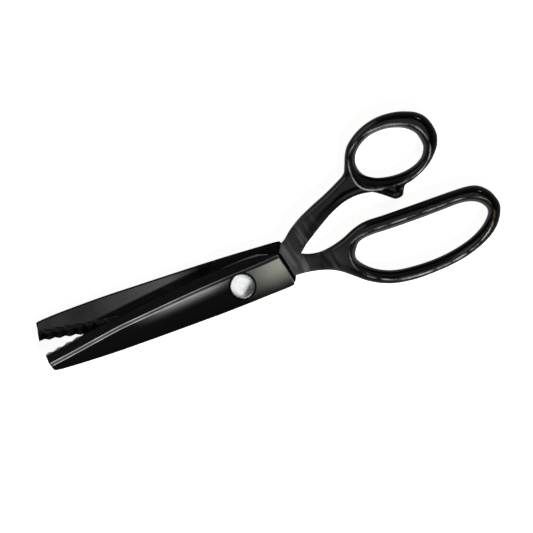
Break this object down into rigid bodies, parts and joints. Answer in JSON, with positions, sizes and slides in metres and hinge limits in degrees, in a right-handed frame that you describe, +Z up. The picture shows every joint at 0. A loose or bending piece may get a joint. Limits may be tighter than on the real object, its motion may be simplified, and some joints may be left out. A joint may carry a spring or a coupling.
{
  "type": "pinking shears",
  "caption": "Bent-handle pinking shears with black forged halves, saw-tooth blades, a small thumb ring, a long finger bow and a domed bolt on a ball-bearing pivot.",
  "frame": {"origin": "on the pivot axis, in the plane of the face that the shears lie on, where the pivot bolt's end lies flush", "axes": "+Z up along the pivot axis towards the bolt's head, +X from the blade tips towards the handles, +Y from the finger bow towards the thumb ring"},
  "size_m": [0.2288, 0.0793, 0.0109],
  "materials": {
    "black_coated_steel": "black coat, glossy on the handles and satin on the blades, over forged steel",
    "polished_chrome": "polished",
    "bronze": "turned, oiled",
    "cage_brass": "pressed sheet",
    "ball_steel": "ground and lapped",
    "spring_steel": "tempered strip",
    "nickel_nut": "turned and nickel plated"
  },
  "bodies": {
    "back": {"back_half": "black_coated_steel", "pivot_bush": "bronze", "thrust_washer": "bronze"},
    "front": {"front_half": "black_coated_steel", "pivot_bolt": "polished_chrome", "spring_washer": "spring_steel", "adjusting_nut": "nickel_nut"},
    "bearing": {"ball_cage": "cage_brass", "bearing_balls": "ball_steel"}
  },
  "joints": [
    {"name": "blade_pivot", "type": "hinge", "parent": "back", "child": "front", "pos_m": [0, 0, 0.0052], "axis": [0, 0, 1], "range_deg": [-3.4, 45]},
    {"name": "bearing_roll", "type": "hinge", "parent": "back", "child": "bearing", "pos_m": [0, 0, 0.0052], "axis": [0, 0, 1], "range_deg": [-1.7, 22.5]}
  ],
  "couplings": [
    {"joint": "bearing_roll", "follows": "blade_pivot", "ratio": 0.5}
  ]
}
